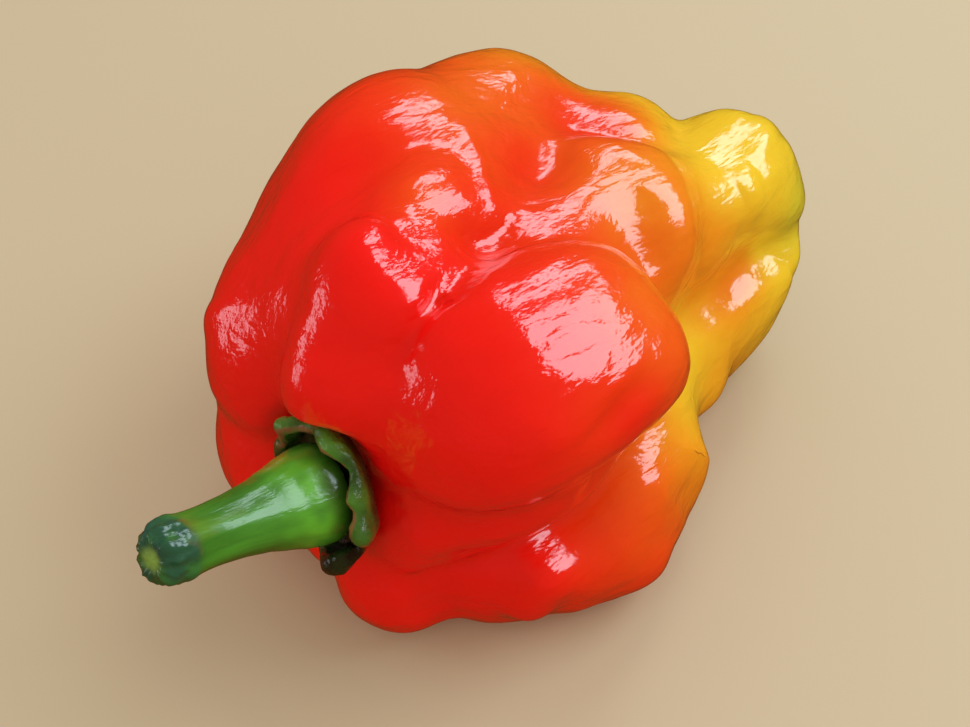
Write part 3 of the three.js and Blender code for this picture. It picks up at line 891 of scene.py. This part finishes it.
class PEPPER_OT_calyx(bpy.types.Operator):
    """Calyx: the ruffled collar, its lobes plumped up and its inner edge dried and jagged"""
    bl_idname = "pepper.calyx"
    bl_label = "Calyx"

    def execute(self, context):
        props = context.scene.pepper_greens
        calyx = copy_of_node("calyx", "habanero_calyx")
        modify(calyx, "SUBSURF", FINER)
        points = to_carpels(places(calyx))
        angle, radius, height, tone, lift = calyx_places(points)
        out, up, back = seat_axes()
        rim = ease(height, *CALYX_FREE)
        put(calyx, to_frame(points + out * (lift * rim)[:, None]))
        raise_skin(calyx, rim * rough(points, CALYX_LUMPS))
        crest, ridge = crest_of(angle, radius, height)
        dried = ease(ridge - radius, *DRIED_INSIDE_RIDGE) * ease(height - crest, *DRIED_UNDER_CREST)
        dried *= ease(tone, *DRIED_TONE) * np.clip(mottle(points, *DRIED_MOTTLE), 0, 1)
        # Painted shade: near black where the tone is dark and at the foot where the calyx meets the pod
        deep = np.maximum(-tone, fade(height, *CALYX_FOOT_SHADE))
        attribute(calyx, "grain", points * MM)
        # The olive is partly painted light: lighter on the lobes that face the light
        attribute(calyx, "olive", np.clip(tone, 0, 1))
        attribute(calyx, "deep", np.clip(deep, 0, CALYX_DEEPEST))
        attribute(calyx, "dried", DRIED_STRENGTH * dried)
        finish_piece(calyx, "calyx", calyx_green(props))
        return {"FINISHED"}


# Stem


def stem_path():
    """Points along the stem's middle line, and which way it runs at each."""
    out, up, back = seat_axes()
    foot = SEAT_AT + STEM_FOOT_HEIGHT * out
    bend = foot + STEM_BEND * out
    t = np.linspace(0, 1, STEM_STEPS)[:, None]
    line = (1 - t) ** 2 * foot + 2 * t * (1 - t) * bend + t ** 2 * STEM_END
    ahead = 2 * (1 - t) * (bend - foot) + 2 * t * (STEM_END - bend)
    return line, ahead / np.linalg.norm(ahead, axis=1)[:, None]


def stem_places(points):
    """Each point's share of the stem's length, its turn round it and its girth."""
    line, ahead = stem_path()
    away = ((points[:, None, :] - line[None, :, :]) ** 2).sum(2)
    nearest = away.argmin(1)
    share = nearest / (len(line) - 1)
    out, up, back = seat_axes()
    side = np.cross(ahead[nearest], up)
    side /= np.linalg.norm(side, axis=1)[:, None]
    rise = np.cross(side, ahead[nearest])
    off = points - line[nearest]
    high = (off * rise).sum(1)
    wide = (off * side).sum(1)
    return share, np.arctan2(wide, high), np.hypot(wide, high)


def stem_relief(points, share, turn, girth, ring, cut):
    """Height in millimetres of the ribs, the ring and the wrinkled end with its cut."""
    bulb = ease(share, *BULB)
    end_folds = ease(girth, *END_FOLD_GIRTH) * folds(points, turn, *END_FOLDS)
    height = bulb * (rough(points, BULB_LUMPS) + END_FOLD_HEIGHT * end_folds)
    height += ring * (RING_HEIGHT + RING_FOLD_HEIGHT * folds(points, turn, *RING_FOLDS))
    height += RIB_HEIGHT * (1 - bulb) * ease(share, *RIB_START) * np.cos(RIB_COUNT * turn + RIB_TURN)
    return height - CUT_DEPTH * cut


def stem_zones(points, share, turn, ring, cut):
    """How strong each of the stem's colours is at each point."""
    young = ease(share, *YOUNG_START) * fade(share, *YOUNG_END) * mottle(points, *YOUNG_MOTTLE)
    # Painted shade: darker at the foot by the calyx and on the under side, away from the light
    under = ease(np.abs(turn - UNDER_TURN), *UNDER_SPREAD)
    shaded = np.clip(np.maximum(fade(share, *FOOT_SHADE), UNDER_STRENGTH * under), 0, 1)
    on_top = fade(np.abs(turn - BRUISE_TURN), *BRUISE_SPREAD)
    bruise = ease(share, *BRUISE_SHARE) * (BRUISE_BELOW + BRUISE_ON_TOP * on_top)
    bruise *= mottle(points, *BRUISE_MOTTLE)
    return {
        "young": young,
        "shaded": SHADE_STRENGTH * shaded,
        "bruised": np.clip(bruise + RING_BRUISE * ring, 0, BRUISE_DEEPEST),
        "cut": CUT_STRENGTH * cut,
    }


class PEPPER_OT_stem(bpy.types.Operator):
    """Stem: the green stalk with its streaks, node ring and bruised, wrinkled cut end"""
    bl_idname = "pepper.stem"
    bl_label = "Stem"

    def execute(self, context):
        props = context.scene.pepper_greens
        stem = copy_of_node("stem", "habanero_stem")
        modify(stem, "SMOOTH", SMOOTHING)
        modify(stem, "SUBSURF", FINER)
        points = to_carpels(places(stem))
        share, turn, girth = stem_places(points)
        ring = np.exp(-((share - RING_AT) / RING_WIDTH) ** 2)
        cut = fade(girth, *CUT_GIRTH) * ease(share, *CUT_SHARE)
        raise_skin(stem, stem_relief(points, share, turn, girth, ring, cut))
        streaks = share * STEM_LENGTH * ALONG_STEM
        attribute(stem, "grain", np.stack([girth * np.cos(turn), girth * np.sin(turn), streaks], 1) * MM)
        for name, strength in stem_zones(points, share, turn, ring, cut).items():
            attribute(stem, name, strength)
        finish_piece(stem, "stem", stem_green(props))
        return {"FINISHED"}


# Stage


def aim(thing, place, target):
    """Puts a camera or light at a place, looking at its target."""
    thing.location = place
    thing.rotation_euler = (Vector(target) - Vector(place)).to_track_quat("-Z", "Y").to_euler()


def pale_floor(props):
    """A plain floor that the pepper's gloss doesn't reflect."""
    deselect_all()
    bpy.ops.mesh.primitive_plane_add(size=props.floor_size, location=(0, 0, 0))
    floor = bpy.context.active_object
    floor.name = "floor"
    floor.data.materials.append(painted_board(props))
    floor.visible_glossy = False


def panel_light(name, turn, size, power, tint, aside=0.0):
    """A soft rectangular light that looks at the pod, moved aside along its own width."""
    deselect_all()
    bpy.ops.object.light_add(type="AREA")
    light = bpy.context.active_object
    light.name = name
    light.data.shape = "RECTANGLE"
    light.data.size, light.data.size_y = size
    light.data.energy = power
    light.data.color = tint
    target = Vector(LIGHT_TARGET)
    aim(light, target + from_turn(*turn) * LIGHT_DISTANCE, target)
    light.location += light.rotation_euler.to_matrix() @ Vector((aside, 0, 0))


def even_light(scene, props):
    """Even light all round; the gloss sees a dim warm room instead, so its reds stay deep."""
    world = bpy.data.worlds.new("even_light")
    scene.world = world
    world.use_nodes = True
    tree = world.node_tree
    tree.nodes.clear()
    ray = add_node(tree, "ShaderNodeLightPath")
    sky = add_node(tree, "ShaderNodeBackground", None,
                   {"Color": (*props.sky_tint, 1), "Strength": props.sky})
    room = add_node(tree, "ShaderNodeBackground", None,
                    {"Color": (*props.room_tint, 1), "Strength": props.room})
    both = add_node(tree, "ShaderNodeMixShader", None,
                    {0: ray.outputs["Is Glossy Ray"], 1: sky.outputs[0], 2: room.outputs[0]})
    add_node(tree, "ShaderNodeOutputWorld", None, {"Surface": both.outputs[0]})


def photo_camera(scene):
    """The camera that looks at the pepper from the photo's angle."""
    bpy.ops.object.camera_add()
    camera = bpy.context.active_object
    camera.name = "photo_camera"
    camera.data.sensor_width = CAMERA_SENSOR
    camera.data.lens = CAMERA_LENS
    camera.data.clip_start, camera.data.clip_end = CAMERA_CLIP
    target = Vector(CAMERA_TARGET)
    aim(camera, target + from_turn(*CAMERA_TURN) * CAMERA_DISTANCE, target)
    scene.camera = camera


class PEPPER_OT_stage(bpy.types.Operator):
    """Stage: a plain pale floor, soft window light and the camera at the photo's angle"""
    bl_idname = "pepper.stage"
    bl_label = "Stage"

    def execute(self, context):
        props = context.scene.pepper_stage
        pale_floor(props)
        for name, aside, width, share in WINDOW_PANES:
            panel_light(name, WINDOW_TURN, (width, WINDOW_HEIGHT), props.window_power * share,
                        props.window_tint, aside)
        panel_light("fill_light", FILL_TURN, FILL_SIZE, props.fill_power, props.fill_tint)
        even_light(context.scene, props)
        photo_camera(context.scene)
        context.scene.view_settings.view_transform = "Standard"
        return {"FINISHED"}


# Panel and registration


class PEPPER_PT_panel(bpy.types.Panel):
    """Lists the pepper's pieces"""
    bl_label = "Pepper"
    bl_idname = "PEPPER_PT_panel"
    bl_space_type = "VIEW_3D"
    bl_region_type = "UI"
    bl_category = "Pepper"

    def draw(self, context):
        for maker in MAKERS:
            self.layout.operator(maker.bl_idname)
        for group in GROUPS:
            settings = getattr(context.scene, group)
            for name in settings.bl_rna.properties.keys():
                if name not in {"rna_type", "name"}:
                    self.layout.prop(settings, name)


MAKERS = (PEPPER_OT_stage, PEPPER_OT_pod, PEPPER_OT_calyx, PEPPER_OT_stem)
GROUPS = {"pepper_pod": PepperPod, "pepper_greens": PepperGreens, "pepper_stage": PepperStage}


def register():
    for one in (*GROUPS.values(), *MAKERS, PEPPER_PT_panel):
        bpy.utils.register_class(one)
    for name, group in GROUPS.items():
        setattr(bpy.types.Scene, name, bpy.props.PointerProperty(type=group))


def unregister():
    for name in GROUPS:
        delattr(bpy.types.Scene, name)
    for one in reversed((*GROUPS.values(), *MAKERS, PEPPER_PT_panel)):
        bpy.utils.unregister_class(one)


def main():
    register()
    bpy.ops.pepper.stage()
    bpy.ops.pepper.pod()
    bpy.ops.pepper.calyx()
    bpy.ops.pepper.stem()


if __name__ == "__main__":
    main()
